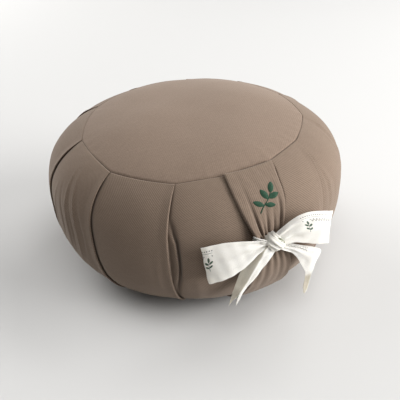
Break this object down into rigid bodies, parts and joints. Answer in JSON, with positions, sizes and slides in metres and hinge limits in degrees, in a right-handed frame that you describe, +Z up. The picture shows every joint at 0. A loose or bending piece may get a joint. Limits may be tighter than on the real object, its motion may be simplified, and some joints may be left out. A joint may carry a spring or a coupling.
{
  "type": "zafu meditation cushion",
  "caption": "Round filled floor cushion with a pleated side band, flat round panels above and below, and a front strap gathered by a ribbon bow.",
  "frame": {"origin": "middle of the bottom panel's flat underside, on the floor", "axes": "+Z up through the cushion's crown, -Y towards the strap and its bow, +X to the right of someone who faces the bow"},
  "size_m": [0.3639, 0.3785, 0.195],
  "materials": {
    "band_cloth": "matt brown-grey cotton twill, pleated",
    "panel_cloth": "the same matt cotton twill, laid smooth",
    "strap_cloth": "the same twill, doubled and gathered, with a small stitched sprig",
    "ribbon_cloth": "ivory woven cotton ribbon with a faint printed sprig and border"
  },
  "bodies": {
    "root": {"cushion_body": "band_cloth", "top_panel": "panel_cloth", "bottom_panel": "panel_cloth", "carry_strap": "strap_cloth", "ribbon_bow": "ribbon_cloth"}
  },
  "joints": []
}
